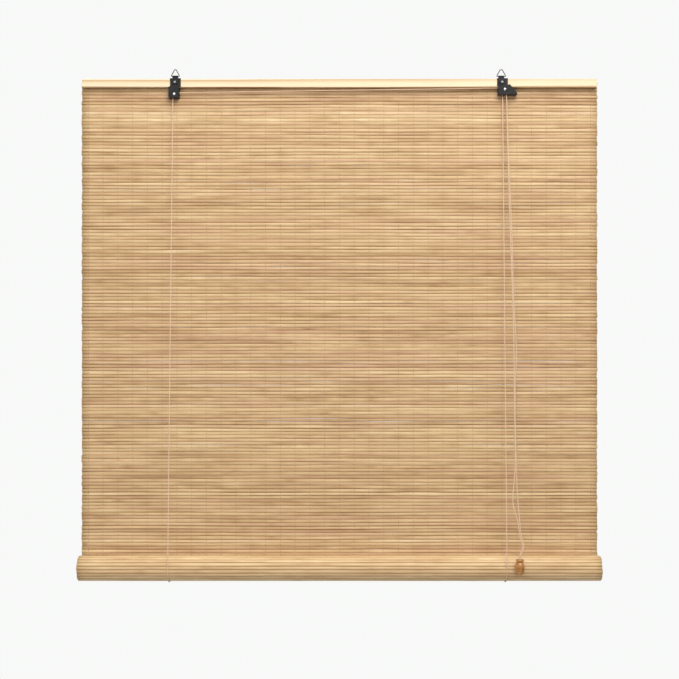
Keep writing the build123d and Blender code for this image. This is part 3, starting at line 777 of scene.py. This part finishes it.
def flatSlats(name, s, heights, rng):
    # slats that hang one above another in the mat's plane, each bowed a little out of it
    rows = len(heights)
    x, wave, halfHigh, halfThick, tilt, tone, blush = slatShapes(s, rows, rng)
    out, high = tilted(halfThick, halfHigh, tilt, s)
    bow = s["bow"] * softNoise(rng, rows, x[0], *slatWaves["bow"])
    points = np.zeros((*x.shape, s["around"], 3))
    points[..., 0] = x[..., None]
    points[..., 1] = matPlane() + bow[..., None] + out
    points[..., 2] = heights[:, None, None] + wave[..., None] + high
    return addTubes(name, points, bamboo, {"tone": tone, "blush": blush[..., None]})


def threadPlaces(t):
    # even places along X, centred on the blind
    return (np.arange(t["count"]) - (t["count"] - 1) / 2) * t["pitch"]


def threadRing(t):
    # the corners of a strand's flat section, turning so that its faces look outward
    angle = (np.arange(t["around"]) * 2 * np.pi / t["around"])[::-1]
    return np.cos(angle) * t["width"] / 2, np.sin(angle) * t["thick"] / 2


def flatThreads(name, s, t, places, top, bottom, rng):
    # two strands at each place that swap sides between slats, by a squared-off cosine of the height
    steps = int(round((top - bottom) / s["pitch"] * t["stepsPerSlat"])) + 1
    z = np.linspace(top, bottom, steps)
    swing = signedPower(np.cos(np.pi * ((top - z) / s["pitch"] - 0.5)), t["squareness"])
    stray = t["stray"] * softNoise(rng, len(places), z, *slatWaves["stray"])
    middle = np.zeros((len(places), 2, steps, 3))
    middle[..., 0] = (places[:, None] + stray)[:, None, :]
    middle[..., 1] = matPlane() + t["reach"] * swing * np.array([1, -1])[None, :, None]
    middle[..., 2] = z
    middle = middle.reshape(-1, steps, 3)
    wide, deep = threadRing(t)
    ring = np.stack([wide, deep, 0 * wide], axis=-1)
    return addTubes(name, middle[:, :, None, :] + ring, threadMaterial)


def buildMat():
    # the slats below the rail's bottom edge, which are pressed up to it as the roll rises, are built apart
    # from the fixed ones behind it; all join the rail's body
    rng = np.random.default_rng(slatSpec["seed"])
    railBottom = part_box("head_rail")[0].z
    pitch = slatSpec["pitch"]
    hangCount = int(round((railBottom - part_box("hanging_slats")[0].z) / pitch))
    fixedCount = int(round((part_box("fixed_slats")[1].z - railBottom) / pitch))
    bottom = railBottom - hangCount * pitch
    below = railBottom - (np.arange(hangCount) + 0.5) * pitch
    above = railBottom + (np.arange(fixedCount) + 0.5) * pitch
    hanging = flatSlats("hangingSlats", slatSpec, below, rng)
    fixed = flatSlats("fixedSlats", slatSpec, above, rng)
    threadRng = np.random.default_rng(threadSpec["seed"])
    places = threadPlaces(threadSpec)
    middle = len(places) // 2
    halves = [flatThreads(name, slatSpec, threadSpec, part, railBottom, bottom, threadRng)
              for name, part in (("warpThreadsLeft", places[:middle]), ("warpThreadsRight", places[middle:]))]
    topThreads = flatThreads("fixedThreads", slatSpec, threadSpec, places,
                             railBottom + fixedCount * pitch, railBottom, threadRng)
    for piece, nodes, name in ((hanging, ["hanging_slats"], "bamboo"),
                               (halves[0], ["warp_threads"], "warp_thread"),
                               (halves[1], [], "warp_thread")):
        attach(piece, "rail_and_mat")
        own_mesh(piece)
        if nodes:
            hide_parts(*nodes)
    for piece, node, name in ((fixed, "fixed_slats", "bamboo"),
                              (topThreads, "fixed_threads", "warp_thread")):
        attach(piece, "rail_and_mat")
        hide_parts(node)
    return bottom


matBottom = buildMat()
print("hanging mat ready")


rollSpec = {
    "layer": 2.0 * mm, "turns": 6.0, "outerSlats": 46, "innerStations": 5,
    "bulge": 1.13, "heightShare": 0.97, "tiltShare": 0.7, "waveShare": 0.4,
    "lighter": 0.13, "blushShare": 0.35, "threadTurns": 1.5, "reachShare": 0.93, "seed": 23,
}


def spiralAt(distance, axis, radius, layer):
    # the mat's middle line: straight down above the axis, then a spiral whose radius shrinks by one layer
    # a turn, with the angle from the distance along it
    run = np.maximum(distance, 0)
    angle = 2 * np.pi / layer * (radius - np.sqrt(np.maximum(radius ** 2 - layer * run / np.pi, 0)))
    r = radius - layer * angle / (2 * np.pi)
    y = axis[0] + r * np.cos(angle)
    z = axis[1] - r * np.sin(angle) - np.minimum(distance, 0)
    outward = np.stack([np.cos(angle), -np.sin(angle)], axis=-1)
    onward = np.stack([-np.sin(angle), -np.cos(angle)], axis=-1)
    return np.stack([y, z], axis=-1), outward, onward


def rolledSlats(name, s, r, order, rng, stations=None):
    # the same slats laid along the spiral, each tangent to it
    axis, radius = rollPlace()
    lead = matBottom - axis[1]
    middle, outward, onward = spiralAt((order + 0.5) * s["pitch"] - lead, axis, radius, r["layer"])
    x, wave, halfHigh, halfThick, tilt, tone, blush = slatShapes(s, len(order), rng, stations)
    tone = np.clip(tone + r["lighter"], 0, 1)
    blush = blush * r["blushShare"]
    out, high = tilted(halfThick * r["bulge"], halfHigh * r["heightShare"], tilt * r["tiltShare"], s)
    points = np.zeros((*x.shape, s["around"], 3))
    points[..., 0] = x[..., None]
    along = wave[..., None] * r["waveShare"] + high
    for i in (0, 1):
        points[..., i + 1] = (middle[:, i, None, None] + outward[:, i, None, None] * out
                              - onward[:, i, None, None] * along)
    return addTubes(name, points, bamboo, {"tone": tone, "blush": blush[..., None]})


def rolledThreads(name, s, t, r):
    # the warp threads of the roll's outer turns: the flat threads' swing, carried along the spiral
    axis, radius = rollPlace()
    lead = matBottom - axis[1]
    length = r["threadTurns"] * 2 * np.pi * (radius - r["layer"] * r["threadTurns"] / 2)
    steps = int(round(length / s["pitch"] * t["stepsPerSlat"])) + 1
    distance = np.arange(steps) * s["pitch"] / t["stepsPerSlat"]
    middle, outward, onward = spiralAt(distance - lead, axis, radius, r["layer"])
    swing = signedPower(np.cos(np.pi * (distance / s["pitch"] - 0.5)), t["squareness"])
    offset = t["reach"] * r["reachShare"] * swing[None, :] * np.array([1, -1])[:, None]
    line = middle[None] + outward[None] * offset[..., None]
    places = threadPlaces(t)
    wide, deep = threadRing(t)
    points = np.zeros((len(places), 2, steps, t["around"], 3))
    points[..., 0] = places[:, None, None, None] + wide
    points[..., 1:] = line[None, :, :, None, :] + outward[None, None, :, None, :] * deep[:, None]
    return addTubes(name, points.reshape(-1, steps, t["around"], 3), threadMaterial)


def buildRoll():
    # the spiral's length, radius times angle less layer times angle squared over four pi, sets how many slats
    # it holds; the inner ones, seen only at the ends, are simpler
    rng = np.random.default_rng(rollSpec["seed"])
    _, radius = rollPlace()
    turn = 2 * np.pi * rollSpec["turns"]
    length = radius * turn - rollSpec["layer"] * turn ** 2 / (4 * np.pi)
    order = np.arange(int(length / slatSpec["pitch"]))
    outer = rolledSlats("rolledSlats", slatSpec, rollSpec, order[:rollSpec["outerSlats"]], rng)
    inner = rolledSlats("innerSlats", slatSpec, rollSpec, order[rollSpec["outerSlats"]:], rng,
                        rollSpec["innerStations"])
    threads = rolledThreads("rollThreads", slatSpec, threadSpec, rollSpec)
    for piece, name in ((outer, "bamboo"), (inner, "bamboo"), (threads, "warp_thread")):
        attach(piece, "roll")
    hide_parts("rolled_mat")


buildRoll()
print("roll ready")
